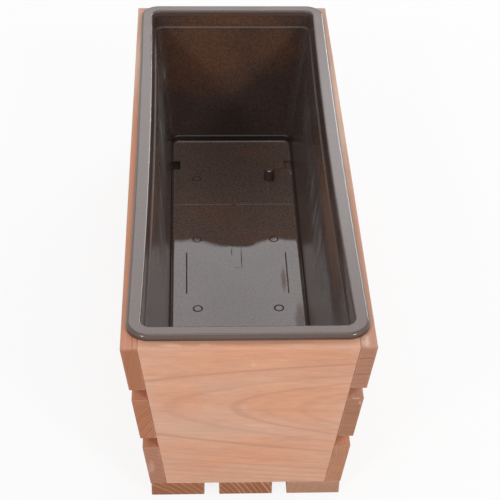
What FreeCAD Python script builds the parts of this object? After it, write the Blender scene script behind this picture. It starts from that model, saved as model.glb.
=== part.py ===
import FreeCAD, Part
import math
import os

os.makedirs("parts", exist_ok=True)

Vec = FreeCAD.Vector
UP = Vec(0, 0, 1)
DOWN = Vec(0, 0, -1)
LEFT_SIDE = -1
RIGHT_SIDE = 1
FRONT_END = -1
BACK_END = 1

# Tapered wooden box. X runs across, Y along the length, Z up, origin under the middle of the base.
box_length = 600.0
top_width = 225.0
slat_names = ("bottom", "middle", "top")
slat_height = 49.5
slat_gap = 12.0
slat_thickness = 15.0
panel_thickness = 15.0
base_names = ("left", "centre", "right")
base_board_width = 50.0
base_gap = 14.0
base_thickness = 16.0
foot_overhang = 0.7
edge_ease = 0.8

# Countersunk wood screws
screw_length = 35.0
screw_diameter = 3.5
screw_head_diameter = 7.0
screw_head_edge = 0.3
screw_tip_length = 5.0
screw_sink = 0.3
screw_recess_span = 4.2
screw_recess_width = 0.9
screw_recess_depth = 1.1
screw_clearance = 0.15
slat_screw_shares = (0.26, 0.74)
outer_board_screw_share = 0.2
centre_board_screw_shares = (0.25, 0.75)
rail_screw_shares = (-0.6, 0.0, 0.6)

# Moulded liner
liner_wall = 1.4
rim_height = 6.0
rim_reveal_side = 4.0
rim_reveal_end = 7.1
rim_outer_radius = 21.0
rim_edge_radius = 3.5
rim_foot_radius = 0.9
rim_inner_radius = 2.6
rim_bow = 2.5
mouth_bow = 3.6
liner_set_back = 3.0
collar_depth = 19.2
collar_radius = 9.5
collar_clearance_side = 0.7
collar_clearance_end = 1.4
collar_end_draft = 3.0
ledge_width = 1.5
end_wall_draft = 14.8
foot_radius = 10.0
foot_bow = 0.5
foot_clearance = 0.5
foot_ledge_width = 1.2
well_depth = 7.0
well_draft = 1.9
floor_edge_radius = 1.8
stand_gap = 0.5
stand_depth = 3.6
stand_length = 18.0
stand_width = 8.0
stand_set_in = 2.8
stand_along_share = 0.804

# Marks moulded on the liner's floor
drain_across_share = 0.615
drain_along_shares = (-0.692, -0.233, 0.233, 0.692)
drain_mark_diameter = 11.0
drain_mark_width = 1.6
floor_rib_across_share = 0.783
floor_rib_length = 70.0
floor_rib_width = 1.6
floor_rib_height = 0.7
cross_bead_along_shares = (-0.493, 0.493)
cross_bead_width = 1.8
cross_bead_height = 0.3
gate_diameter = 5.0
gate_height = 0.5

# Drain plug in the drain nearest the right rear corner
plug_hole_diameter = 8.0
plug_clearance = 0.35
plug_head_diameter = 12.6
plug_head_height = 15.2
plug_head_draft = 0.35
plug_head_ease = 0.8
plug_floor_clearance = 0.7
plug_lead_length = 2.0
plug_lead_taper = 0.8

overrun = 5.0
level_share = 0.001

# Heights and widths that follow from the sizes above
base_width = len(base_names) * base_board_width + (len(base_names) - 1) * base_gap
slat_pitch = slat_height + slat_gap
side_height = len(slat_names) * slat_pitch - slat_gap
box_top = base_thickness + side_height
foot_half = base_width / 2 + foot_overhang
side_slope = (top_width / 2 - foot_half) / side_height
side_angle = math.atan(side_slope)
slat_run = slat_thickness / math.cos(side_angle)
end_face = box_length / 2
end_inner = end_face - panel_thickness
panel_middle = end_face - panel_thickness / 2
screw_head_height = (screw_head_diameter - screw_diameter) / 2
rim_top = box_top + rim_height
ledge_top = rim_top - collar_depth
ledge_bottom = ledge_top - ledge_width
liner_bottom = base_thickness + stand_gap
stand_floor = liner_bottom + liner_wall
floor_top = stand_floor + stand_depth
floor_under = floor_top - liner_wall
well_top = floor_top + well_depth
foot_level = well_top + foot_ledge_width
well_radius = foot_radius - foot_ledge_width
floor_radius = well_radius - well_draft


def side_outer(z):
    """Half width of the box over the slats' outer faces at height z."""
    return foot_half + (z - base_thickness) * side_slope


def side_inner(z):
    """Half width of the box between the slats' inner faces at height z."""
    return side_outer(z) - slat_run


def prism(points, direction):
    """Solid swept from a closed polygon."""
    return Part.Face(Part.makePolygon(points + points[:1])).extrude(direction)


def eased(solid):
    """Board with all its edges lightly rounded."""
    return solid.makeFillet(edge_ease, solid.Edges)


def turned(profile):
    """Solid turned about the Z axis from a closed polygon in the XZ plane."""
    points = [Vec(r, 0, z) for r, z in profile]
    face = Part.Face(Part.makePolygon(points + points[:1]))
    return face.revolve(Vec(0, 0, 0), UP, 360)


def placed(solid, point, normal):
    """Copy of a solid with its Z axis along normal and its origin at point."""
    copy = solid.copy()
    copy.Placement = FreeCAD.Placement(point, FreeCAD.Rotation(UP, normal))
    return copy


def centred_box(length_x, length_y, length_z, centre, bottom):
    """Box centred on a point in plan, standing on a level."""
    corner = Vec(centre.x - length_x / 2, centre.y - length_y / 2, bottom)
    return Part.makeBox(length_x, length_y, length_z, corner)


def screw_profile(grow, rise):
    """Half section of a screw, or of its hole when grown by a clearance."""
    head = screw_head_diameter / 2 + grow
    shank = screw_diameter / 2 + grow
    top = -screw_sink
    edge = top - screw_head_edge
    tip = top - screw_length
    return [
        (0, top + rise),
        (head, top + rise),
        (head, edge),
        (shank, edge - screw_head_height),
        (shank, tip + screw_tip_length),
        (0, tip - grow),
    ]


def make_screw():
    """Countersunk screw, its head's face at the surface and its shank pointing down."""
    screw = turned(screw_profile(0, 0))
    level = -screw_sink - screw_recess_depth
    depth = screw_recess_depth + overrun
    middle = Vec(0, 0, 0)
    slots = [
        centred_box(screw_recess_span, screw_recess_width, depth, middle, level),
        centred_box(screw_recess_width, screw_recess_span, depth, middle, level),
    ]
    return screw.cut(slots)


def make_screw_hole():
    """Countersunk clearance hole for one screw."""
    return turned(screw_profile(screw_clearance, screw_sink + overrun))


def slat_bottom(index):
    """Height of the lower edge of a slat."""
    return base_thickness + index * slat_pitch


def slat_screws(side, index):
    """Places and outward directions of the screws of one slat."""
    normal = Vec(side * math.cos(side_angle), 0, -math.sin(side_angle))
    places = []
    for end in (FRONT_END, BACK_END):
        for share in slat_screw_shares:
            z = slat_bottom(index) + share * slat_height
            places.append((Vec(side * side_outer(z), end * panel_middle, z), normal))
    return places


def side_screws(side):
    """All the screws of one long side."""
    return [place for index in range(len(slat_names)) for place in slat_screws(side, index)]


def board_left_edge(index):
    """X of the left edge of a base board."""
    return -base_width / 2 + index * (base_board_width + base_gap)


def base_screws(index):
    """Places and directions of the screws under one base board."""
    left = board_left_edge(index)
    rail_middle = foot_half - slat_run / 2
    rails = [Vec(0, share * end_inner, 0) for share in rail_screw_shares]
    if index == 0:
        across = [left + base_board_width * (1 - outer_board_screw_share)]
        rails = [Vec(-rail_middle, rail.y, 0) for rail in rails]
    elif index == len(base_names) - 1:
        across = [left + base_board_width * outer_board_screw_share]
        rails = [Vec(rail_middle, rail.y, 0) for rail in rails]
    else:
        across = [left + base_board_width * share for share in centre_board_screw_shares]
        rails = []
    ends = [Vec(x, end * panel_middle, 0) for end in (FRONT_END, BACK_END) for x in across]
    return [(point, DOWN) for point in ends + rails]


def all_base_screws():
    """All the screws under the base."""
    return [place for index in range(len(base_names)) for place in base_screws(index)]


def drilled(solid, places):
    """Solid with a countersunk hole at each place."""
    hole = make_screw_hole()
    return solid.cut([placed(hole, point, normal) for point, normal in places])


def make_slat(side, index):
    """Long slat with level edges, leaning with the side of the box."""
    low = slat_bottom(index)
    high = low + slat_height
    section = [
        Vec(side * side_inner(low), -end_face, low),
        Vec(side * side_outer(low), -end_face, low),
        Vec(side * side_outer(high), -end_face, high),
        Vec(side * side_inner(high), -end_face, high),
    ]
    slat = eased(prism(section, Vec(0, box_length, 0)))
    under = [place for place in all_base_screws() if place[0].x * side > 0] if index == 0 else []
    return drilled(slat, slat_screws(side, index) + under)


def make_panel(end):
    """Trapezoid end panel between the two sides."""
    y = end * end_face
    corners = [
        Vec(-side_inner(base_thickness), y, base_thickness),
        Vec(side_inner(base_thickness), y, base_thickness),
        Vec(side_inner(box_top), y, box_top),
        Vec(-side_inner(box_top), y, box_top),
    ]
    panel = eased(prism(corners, Vec(0, -end * panel_thickness, 0)))
    screws = side_screws(LEFT_SIDE) + side_screws(RIGHT_SIDE) + all_base_screws()
    return drilled(panel, [place for place in screws if place[0].y * end > end_inner])


def make_base_board(index):
    """Lengthwise base board on which the box stands."""
    corner = Vec(board_left_edge(index), -end_face, 0)
    board = eased(Part.makeBox(base_board_width, box_length, base_thickness, corner))
    return drilled(board, base_screws(index))


def make_screws(places):
    """Group of separate screws."""
    screw = make_screw()
    return Part.makeCompound([placed(screw, point, normal) for point, normal in places])


def outline(half_x, half_y, radius, bow, z):
    """Closed trough outline at height z: straight ends, round corners, sides drawn in by bow."""
    side_radius = (half_y ** 2 + bow ** 2) / (2 * bow)
    side_centre = half_x - bow + side_radius
    corner_y = half_y - radius
    corner_x = side_centre - math.sqrt((side_radius + radius) ** 2 - corner_y ** 2)
    to_side = Vec(side_centre - corner_x, -corner_y, 0).normalize()
    to_middle = (to_side + Vec(0, 1, 0)).normalize()

    def at(sign_x, sign_y, direction):
        x = corner_x + radius * direction.x
        y = corner_y + radius * direction.y
        return Vec(sign_x * x, sign_y * y, z)

    def side(sign_x, sign_y):
        waist = Vec(sign_x * (half_x - bow), 0, z)
        return Part.Arc(at(sign_x, -sign_y, to_side), waist, at(sign_x, sign_y, to_side)).toShape()

    def corner(sign_x, sign_y, first, last):
        points = [at(sign_x, sign_y, way) for way in (first, to_middle, last)]
        return Part.Arc(*points).toShape()

    def end(sign_x, sign_y):
        points = [at(sign * sign_x, sign_y, Vec(0, 1, 0)) for sign in (1, -1)]
        return Part.LineSegment(*points).toShape()

    ahead = Vec(0, 1, 0)
    return Part.Wire([
        side(1, 1),
        corner(1, 1, to_side, ahead),
        end(1, 1),
        corner(-1, 1, ahead, to_side),
        side(-1, -1),
        corner(-1, -1, to_side, ahead),
        end(-1, -1),
        corner(1, -1, ahead, to_side),
    ])


def column(half_x, half_y, radius, bow, low, high):
    """Upright solid over a trough outline."""
    return Part.Face(outline(half_x, half_y, radius, bow, low)).extrude(Vec(0, 0, high - low))


def edges_at(solid, z):
    """Edges of a solid that lie level at height z."""
    near = edge_ease * level_share
    levels = [(edge, edge.BoundBox) for edge in solid.Edges]
    return [edge for edge, box in levels if abs(box.ZMin - z) < near and abs(box.ZMax - z) < near]


def collar_half(z):
    """Half width and half length of the liner's inside in the collar at height z."""
    fall = (rim_top - z) / collar_depth
    half_x = side_inner(box_top - (rim_top - z)) - collar_clearance_side - liner_wall
    end_room = collar_clearance_end + liner_set_back + liner_wall
    half_y = end_inner - end_room - fall * collar_end_draft
    return half_x, half_y


def foot_half_sizes():
    """Half width and half length of the liner's inside at the foot of its walls."""
    half_x = side_inner(foot_level) - foot_clearance - liner_wall
    half_y = collar_half(ledge_top)[1] - ledge_width - end_wall_draft
    return half_x, half_y


def well_half_sizes():
    """Half width and half length of the sunk floor's well where it meets the ledge round the foot."""
    foot_x, foot_y = foot_half_sizes()
    return foot_x - foot_ledge_width, foot_y - foot_ledge_width


def floor_half_sizes():
    """Half width and half length of the liner's flat floor, at the bottom of its well."""
    well_x, well_y = well_half_sizes()
    return well_x - well_draft, well_y - well_draft


def liner_levels(grow):
    """Outlines of the liner's inside from floor to rim, or of its outside when grown by its wall."""
    floor_x, floor_y = floor_half_sizes()
    well_x, well_y = well_half_sizes()
    foot_x, foot_y = foot_half_sizes()
    low_x, low_y = collar_half(ledge_top)
    high = rim_top - liner_wall / 2 if grow else rim_top + overrun
    high_x, high_y = collar_half(high)
    bottom = floor_under if grow else floor_top
    step = ledge_width - grow
    return [
        outline(floor_x + grow, floor_y + grow, floor_radius + grow, foot_bow, bottom),
        outline(well_x + grow, well_y + grow, well_radius + grow, foot_bow, well_top),
        outline(foot_x + grow, foot_y + grow, foot_radius + grow, foot_bow, foot_level),
        outline(low_x - step, low_y - step, collar_radius + grow, mouth_bow, ledge_bottom),
        outline(low_x + grow, low_y + grow, collar_radius + grow, mouth_bow, ledge_top),
        outline(high_x + grow, high_y + grow, collar_radius + grow, mouth_bow, high),
    ]


def make_rim():
    """Flat rim with its outer lip turned down onto the wood."""
    half_x = top_width / 2 - rim_reveal_side
    half_y = end_face - rim_reveal_end
    rim = column(half_x, half_y, rim_outer_radius, rim_bow, box_top, rim_top)
    rim = rim.makeFillet(rim_edge_radius, edges_at(rim, rim_top))
    rim = rim.makeFillet(rim_foot_radius, edges_at(rim, box_top))
    inner = (half_x - liner_wall, half_y - liner_wall, rim_outer_radius - liner_wall, rim_bow)
    under = rim_top - liner_wall
    hollow = column(*inner, box_top - overrun, under)
    hollow = hollow.makeFillet(rim_edge_radius - liner_wall, edges_at(hollow, under))
    return rim.cut(hollow)


def stand_blocks(grow, low, high):
    """Blocks that fill the hollow stands under the floor, or their outsides when grown by the wall."""
    foot_x, foot_y = foot_half_sizes()
    middle = foot_x - stand_set_in - stand_width / 2
    along = stand_along_share * floor_half_sizes()[1]
    size = (stand_width + 2 * grow, stand_length + 2 * grow, high - low)
    blocks = []
    for sign_x in (LEFT_SIDE, RIGHT_SIDE):
        for sign_y in (FRONT_END, BACK_END):
            blocks.append(centred_box(*size, Vec(sign_x * middle, sign_y * along, 0), low))
    return blocks


def ridge(start, end, width, height):
    """Low ridge of triangular section along a line on the floor."""
    run = end - start
    across = run.cross(UP).normalize() * (width / 2)
    root = DOWN * (liner_wall / 2)
    left = start - across
    right = start + across
    return prism([left + root, right + root, right, start + UP * height, left], run)


def floor_marks():
    """Ribs, beads and gate marks that stand up from the floor."""
    marks = []
    floor_x, floor_y = floor_half_sizes()
    bead_reach = floor_x - floor_edge_radius
    for sign in (LEFT_SIDE, RIGHT_SIDE):
        middle = Vec(sign * floor_rib_across_share * floor_x, 0, floor_top)
        reach = Vec(0, floor_rib_length / 2, 0)
        marks.append(ridge(middle - reach, middle + reach, floor_rib_width, floor_rib_height))
    for share in cross_bead_along_shares:
        middle = Vec(0, share * floor_y, floor_top)
        reach = Vec(bead_reach, 0, 0)
        marks.append(ridge(middle - reach, middle + reach, cross_bead_width, cross_bead_height))
        root = liner_wall / 2
        marks.append(Part.makeCylinder(gate_diameter / 2, gate_height + root, middle + DOWN * root))
    return marks


def drain_place(sign_x, along_share):
    """Middle of one drain position, on the face of the floor."""
    floor_x, floor_y = floor_half_sizes()
    return Vec(sign_x * drain_across_share * floor_x, along_share * floor_y, floor_top)


def plug_place():
    """Middle of the drain that is open and has the plug."""
    return drain_place(RIGHT_SIDE, drain_along_shares[-1])


def drain_marks():
    """Round ring grooves at the closed drains and the hole of the open one."""
    open_drain = plug_place()
    closed = []
    for sign in (LEFT_SIDE, RIGHT_SIDE):
        closed += [drain_place(sign, share) for share in drain_along_shares]
    closed.remove(open_drain)
    groove = drain_mark_width / 2
    cuts = [Part.makeTorus(drain_mark_diameter / 2 - groove, groove, place) for place in closed]
    hole_bottom = open_drain + DOWN * overrun
    cuts.append(Part.makeCylinder(plug_hole_diameter / 2, 2 * overrun, hole_bottom))
    return cuts


def mouth_edges(shell):
    """Edges round the mouth of the liner, where the rim turns down into the collar."""
    half_x, half_y = collar_half(rim_top)
    reach_x = half_x + liner_wall
    reach_y = half_y + liner_wall
    found = []
    for edge in edges_at(shell, rim_top):
        box = edge.BoundBox
        if max(abs(box.XMin), abs(box.XMax)) < reach_x and max(abs(box.YMin), abs(box.YMax)) < reach_y:
            found.append(edge)
    return found


def make_liner():
    """Moulded trough: tapered walls, stepped collar, turned-down rim, sunk floor on hollow stands."""
    outside = Part.makeLoft(liner_levels(liner_wall), True, True)
    outside = outside.makeFillet(floor_edge_radius + liner_wall, edges_at(outside, floor_under))
    inside = Part.makeLoft(liner_levels(0), True, True)
    inside = inside.makeFillet(floor_edge_radius, edges_at(inside, floor_top))
    stands = stand_blocks(liner_wall, liner_bottom, floor_top + liner_wall)
    shell = outside.fuse(stands + [make_rim()]).cut(inside)
    shell = shell.makeFillet(rim_inner_radius, mouth_edges(shell))
    shell = shell.fuse(floor_marks())
    shell = shell.cut(stand_blocks(0, stand_floor, well_top) + drain_marks())
    return shell.removeSplitter()


def make_plug():
    """Push-in drain plug: tapered shank and a tall round head to pull it by."""
    shank = plug_hole_diameter / 2 - plug_clearance
    reach = floor_top - base_thickness - plug_floor_clearance
    head = plug_head_diameter / 2
    crown = head - plug_head_draft
    plug = turned([
        (0, -reach),
        (shank - plug_lead_taper, -reach),
        (shank, plug_lead_length - reach),
        (shank, 0),
        (head, 0),
        (crown, plug_head_height),
        (0, plug_head_height),
    ])
    plug = plug.makeFillet(plug_head_ease, edges_at(plug, plug_head_height))
    return placed(plug, plug_place(), UP)


def set_back(shape):
    """Liner piece moved to where the loose liner stands, nearer the back panel."""
    return shape.translated(Vec(0, liner_set_back, 0))


def build():
    """All the pieces of the planter by name."""
    pieces = {
        "end_panel_front": make_panel(FRONT_END),
        "end_panel_back": make_panel(BACK_END),
    }
    for side, side_name in ((LEFT_SIDE, "left"), (RIGHT_SIDE, "right")):
        for index, slat_name in enumerate(slat_names):
            pieces[f"{side_name}_slat_{slat_name}"] = make_slat(side, index)
        pieces[f"{side_name}_side_screws"] = make_screws(side_screws(side))
    for index, board_name in enumerate(base_names):
        pieces[f"base_board_{board_name}"] = make_base_board(index)
    pieces["base_screws"] = make_screws(all_base_screws())
    pieces["liner"] = set_back(make_liner())
    pieces["drain_plug"] = set_back(make_plug())
    return pieces


for name, shape in build().items():
    shape.exportStep(f"parts/{name}.step")
    box = shape.BoundBox
    print(name, len(shape.Solids), shape.isValid(), round(shape.Volume), [round(v, 2) for v in (
        box.XMin, box.XMax, box.YMin, box.YMax, box.ZMin, box.ZMax)])
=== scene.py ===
"""Looks of a slatted trough planter: oiled boards, a moulded liner, its drain plug and the screws.

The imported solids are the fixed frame. Each class below holds the sizes of one sub-assembly and
gives its boards or mouldings a procedural finish. Lengths are in metres and angles in degrees.
Only rings, patches and the figure of a board are written in millimetres.
"""

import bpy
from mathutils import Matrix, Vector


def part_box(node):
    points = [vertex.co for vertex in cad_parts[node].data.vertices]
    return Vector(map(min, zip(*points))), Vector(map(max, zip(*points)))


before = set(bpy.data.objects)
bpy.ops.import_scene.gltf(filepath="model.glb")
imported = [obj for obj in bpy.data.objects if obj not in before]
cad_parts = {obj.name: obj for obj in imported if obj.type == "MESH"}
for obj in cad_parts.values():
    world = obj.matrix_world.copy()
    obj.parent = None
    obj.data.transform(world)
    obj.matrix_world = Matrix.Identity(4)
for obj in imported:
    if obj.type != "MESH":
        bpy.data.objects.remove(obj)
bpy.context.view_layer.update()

import logging
import math
from dataclasses import dataclass, field
from enum import Enum
from functools import partial, reduce
from typing import ClassVar, Optional, Union

import bpy
from mathutils import Matrix, Vector

log = logging.getLogger("planter")
MM = 0.001

Colour = tuple[float, float, float, float]
Point = tuple[float, float, float]
Span = tuple[float, float]
Out = bpy.types.NodeSocket
Feed = Union[Out, float, Point, Colour]

WHITE: Colour = (1.0, 1.0, 1.0, 1.0)


class Slot(Enum):
    """Material slots of the record that the finishes stand for."""

    PANEL = "panel_wood"
    SLAT = "slat_wood"
    BASE = "base_wood"
    LINER = "liner_plastic"
    PLUG = "plug_plastic"
    SCREW = "screw_steel"


class Socket(Enum):
    """Kinds of socket on the shared effects."""

    VALUE = "NodeSocketFloat"
    VECTOR = "NodeSocketVector"


class Grain(Enum):
    """Way that the grain of a board runs, as the turn of its growth axis about the upright."""

    ACROSS = 0.0
    ALONG = 90.0


def mm(*lengths: float) -> tuple:
    """Lengths in metres from lengths in millimetres."""
    return tuple(length * MM for length in lengths)


def linear(byte: int) -> float:
    """Linear share of one display colour byte."""
    share = byte / 255.0
    return share / 12.92 if share <= 0.04045 else ((share + 0.055) / 1.055) ** 2.4


def rgb(red: int, green: int, blue: int) -> Colour:
    """Linear colour, with an alpha of one, from display colour bytes."""
    return (linear(red), linear(green), linear(blue), 1.0)


class NodeBench:
    """Adds and joins the nodes of one shader tree."""

    def __init__(self, tree: bpy.types.NodeTree) -> None:
        """Work on the given tree."""
        self.tree = tree

    def feed(self, socket: Out, value: Feed) -> None:
        """Link a socket to another, or set it to a plain value.

        Args:
            socket: input to fill.
            value: output to link, or a number, point or colour.
        """
        if isinstance(value, Out):
            self.tree.links.new(value, socket)
        else:
            socket.default_value = value

    def add(self, kind: str, settings: Optional[dict] = None, slots: Optional[dict] = None,
            **values: Feed) -> bpy.types.Node:
        """Add a node.

        Args:
            kind: node type.
            settings: properties of the node.
            slots: inputs by number.
            values: inputs by name, with underscores for spaces.

        Returns:
            The new node.
        """
        node = self.tree.nodes.new(kind)
        for name, value in (settings or {}).items():
            setattr(node, name, value)
        for number, value in (slots or {}).items():
            self.feed(node.inputs[number], value)
        for name, value in values.items():
            self.feed(node.inputs[name.replace("_", " ").title()], value)
        return node

    def math(self, operation: str, *values: Feed) -> Out:
        """Number that an operation makes of its terms."""
        return self.add("ShaderNodeMath", {"operation": operation}, dict(enumerate(values))).outputs[0]

    def vector(self, operation: str, *values: Feed) -> Out:
        """Vector that an operation makes of its terms, or a number for products, lengths and distances."""
        node = self.add("ShaderNodeVectorMath", {"operation": operation}, dict(enumerate(values)))
        return node.outputs["Value" if operation in ("DOT_PRODUCT", "LENGTH", "DISTANCE") else "Vector"]

    def times(self, *values: Feed) -> Out:
        """Product of the values."""
        return reduce(partial(self.math, "MULTIPLY"), values)

    def plus(self, *values: Feed) -> Out:
        """Total of the values."""
        return reduce(partial(self.math, "ADD"), values)

    def most(self, *values: Feed) -> Out:
        """Largest of the values."""
        return reduce(partial(self.math, "MAXIMUM"), values)

    def minus(self, first: Feed, second: Feed) -> Out:
        """First value less the second."""
        return self.math("SUBTRACT", first, second)

    def rest(self, value: Feed) -> Out:
        """What a share lacks to one."""
        return self.minus(1.0, value)

    def scaled(self, vector: Feed, factor: Feed) -> Out:
        """Vector times one number."""
        node = self.add("ShaderNodeVectorMath", {"operation": "SCALE"}, {0: vector}, Scale=factor)
        return node.outputs["Vector"]

    def stretched(self, vector: Feed, factors: Point) -> Out:
        """Vector times its own number along each axis."""
        return self.vector("MULTIPLY", vector, factors)

    def rise(self, value: Feed, low: float, high: float) -> Out:
        """Smooth step from 0 at low to 1 at high, or down where low is the larger.

        Args:
            value: number to judge.
            low: where the step starts.
            high: where it ends.

        Returns:
            Output socket from 0 to 1.
        """
        first, last = (0.0, 1.0) if low < high else (1.0, 0.0)
        node = self.add(
            "ShaderNodeMapRange", {"interpolation_type": "SMOOTHSTEP"}, Value=value,
            from_min=min(low, high), from_max=max(low, high), to_min=first, to_max=last,
        )
        return node.outputs["Result"]

    def span(self, value: Feed, low: float, high: float) -> Out:
        """Number from 0 to 1 stretched over low to high."""
        node = self.add("ShaderNodeMapRange", Value=value, to_min=low, to_max=high)
        return node.outputs["Result"]

    def noise(self, vector: Feed, scale: float, detail: float = 2.0, rough: float = 0.5) -> Out:
        """Cloudy noise around one half.

        Args:
            vector: place.
            scale: size of the clouds, as one over their width.
            detail: finer layers.
            rough: strength of the finer layers.

        Returns:
            Output socket from 0 to 1.
        """
        node = self.add("ShaderNodeTexNoise", Vector=vector, Scale=scale, Detail=detail, Roughness=rough)
        return node.outputs[0]

    def drawn(self, vector: Feed, factors: Point, detail: float = 2.0, rough: float = 0.5) -> Out:
        """Cloudy noise drawn out by its own number along each axis."""
        return self.noise(self.stretched(vector, factors), 1.0, detail, rough)

    def clouds(self, vector: Feed, factors: Point, detail: float) -> Out:
        """Drawn-out noise vector around zero."""
        node = self.add("ShaderNodeTexNoise", Vector=self.stretched(vector, factors), Scale=1.0,
                        Detail=detail)
        return self.vector("SUBTRACT", node.outputs["Color"], (0.5, 0.5, 0.5))

    def blend(self, factor: Feed, first: Feed, second: Feed, mode: str = "MIX") -> Out:
        """Mix of two colours.

        Args:
            factor: share of the second.
            first: colour at 0.
            second: colour at 1.
            mode: Blender's name of the blend.

        Returns:
            Output socket.
        """
        settings = {"data_type": "RGBA", "blend_type": mode}
        return self.add("ShaderNodeMix", settings, {0: factor, 6: first, 7: second}).outputs[2]

    def shaded(self, colour: Feed, share: Feed) -> Out:
        """Colour times a number."""
        return self.blend(1.0, colour, share, "MULTIPLY")

    def lerp(self, factor: Feed, first: Feed, second: Feed) -> Out:
        """Mix of two numbers."""
        slots = {0: factor, 2: first, 3: second}
        return self.add("ShaderNodeMix", {"data_type": "FLOAT"}, slots).outputs[0]

    def split(self, vector: Feed) -> tuple:
        """The three numbers of a vector."""
        return tuple(self.add("ShaderNodeSeparateXYZ", Vector=vector).outputs)

    def join(self, x: Feed, y: Feed, z: Feed) -> Out:
        """Vector of three numbers."""
        return self.add("ShaderNodeCombineXYZ", X=x, Y=y, Z=z).outputs[0]


class FinishBench(NodeBench):
    """Bench of a new material, with its shader and the Object coordinates that its patterns follow."""

    def __init__(self, name: str) -> None:
        """Start a material.

        Args:
            name: name of the material.
        """
        self.material = bpy.data.materials.new(name)
        self.material.use_nodes = True
        self.material.node_tree.nodes.clear()
        super().__init__(self.material.node_tree)
        self.place = self.add("ShaderNodeTexCoord").outputs["Object"]
        self.shader = self.add("ShaderNodeBsdfPrincipled")
        out = self.add("ShaderNodeOutputMaterial")
        self.feed(out.inputs["Surface"], self.shader.outputs[0])

    def give(self, inputs: dict) -> None:
        """Fill the shader's inputs by name."""
        for name, value in inputs.items():
            self.feed(self.shader.inputs[name], value)

    def bump(self, height: Feed, distance: float, strength: float = 1.0) -> Out:
        """Normal of a surface with relief.

        Args:
            height: relief from 0 to 1.
            distance: depth of the relief.
            strength: share of it that shows.

        Returns:
            Output socket with the normal.
        """
        node = self.add("ShaderNodeBump", Height=height, Distance=distance, Strength=strength)
        return node.outputs["Normal"]


class SharedEffect(NodeBench):
    """A surface effect that several finishes use, and the bench of its one node group."""

    title: ClassVar[str] = ""
    vectors: ClassVar[tuple] = ()
    values: ClassVar[tuple] = ()
    gives: ClassVar[tuple] = ()
    trees: ClassVar[dict] = {}

    def __init__(self) -> None:
        """Build the group."""
        super().__init__(bpy.data.node_groups.new(self.title, "ShaderNodeTree"))
        sockets = [(name, "INPUT", Socket.VECTOR) for name in self.vectors]
        sockets += [(name, "INPUT", Socket.VALUE) for name in self.values]
        sockets += [(name, "OUTPUT", Socket.VALUE) for name in self.gives]
        for name, way, kind in sockets:
            self.tree.interface.new_socket(name=name, in_out=way, socket_type=kind.value)
        self.given = self.add("NodeGroupInput").outputs
        target = self.add("NodeGroupOutput")
        for name, socket in self.wire().items():
            self.feed(target.inputs[name], socket)

    def wire(self) -> dict:
        """Join the nodes of the group, and return the sockets to put out by name."""
        raise NotImplementedError

    @classmethod
    def put(cls, bench: NodeBench, **values: Feed) -> dict:
        """Put the effect into a material, and build its group on first use.

        Args:
            bench: bench of the material.
            values: inputs by name.

        Returns:
            The effect's output sockets by name.
        """
        if cls.title not in cls.trees:
            cls.trees[cls.title] = cls().tree
        node = bench.add("ShaderNodeGroup", {"node_tree": cls.trees[cls.title]}, **values)
        return {name: node.outputs[name] for name in cls.gives}


class GrowthRings(SharedEffect):
    """Growth rings round a pith that runs along X, uneven in width and strength."""

    title = "growth rings"
    vectors = ("Vector", "Shift")
    values = ("Spacing", "Wander", "Uneven", "Late")
    gives = ("Radius", "Line", "Band")
    slow_bend: Point = (5.0, 14.0, 14.0)
    fine_bend: Point = (22.0, 90.0, 90.0)
    fine_share: float = 0.4
    pace_scale: float = 0.37
    late_end: float = 0.93
    line_span: Span = (0.25, 1.0)
    fade: Point = (9.0, 40.0, 40.0)
    fade_span: Span = (0.1, 1.3)

    def wire(self) -> dict:
        """Late wood as soft lines that come and go, and one tone for each year.

        Returns:
            Sockets to put out by name.
        """
        shifted = self.vector("ADD", self.given["Vector"], self.given["Shift"])
        slow = self.clouds(shifted, self.slow_bend, 1.0)
        fine = self.clouds(shifted, self.fine_bend, 2.0)
        bend = self.vector("ADD", slow, self.scaled(fine, self.fine_share))
        place = self.vector("ADD", self.given["Vector"], self.scaled(bend, self.given["Wander"]))
        radius = self.vector("LENGTH", self.stretched(place, (0.0, 1.0, 1.0)))
        years = self.math("DIVIDE", radius, self.given["Spacing"])
        pace = self.add("ShaderNodeTexNoise", {"noise_dimensions": "1D"},
                        W=self.times(years, self.pace_scale), Scale=1.0, Detail=1.0)
        age = self.plus(years, self.times(self.minus(pace.outputs[0], 0.5), self.given["Uneven"]))
        phase = self.math("FRACT", age)
        year = self.add("ShaderNodeTexWhiteNoise", {"noise_dimensions": "1D"}, W=self.math("FLOOR", age))
        tone = year.outputs["Value"]
        onset = self.add("ShaderNodeMapRange", {"interpolation_type": "SMOOTHSTEP"}, Value=phase,
                         from_min=self.given["Late"], from_max=self.late_end)
        late = self.times(onset.outputs[0], self.rise(phase, 1.0, self.late_end))
        come = self.span(self.drawn(shifted, self.fade), *self.fade_span)
        line = self.times(late, self.span(tone, *self.line_span), come)
        return {"Radius": radius, "Line": line, "Band": tone}


class RingMark(SharedEffect):
    """One ring that stands out among the others."""

    title = "ring mark"
    values = ("Radius", "At", "Soft", "Broken")
    gives = ("Mask",)
    broken_span: Span = (0.1, 1.8)

    def wire(self) -> dict:
        """Soft line round the given radius, stronger and weaker along its run.

        Returns:
            Sockets to put out by name.
        """
        away = self.math("ABSOLUTE", self.minus(self.given["Radius"], self.given["At"]))
        near = self.rise(self.math("DIVIDE", away, self.given["Soft"]), 1.0, 0.0)
        return {"Mask": self.times(near, self.span(self.given["Broken"], *self.broken_span))}


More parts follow.
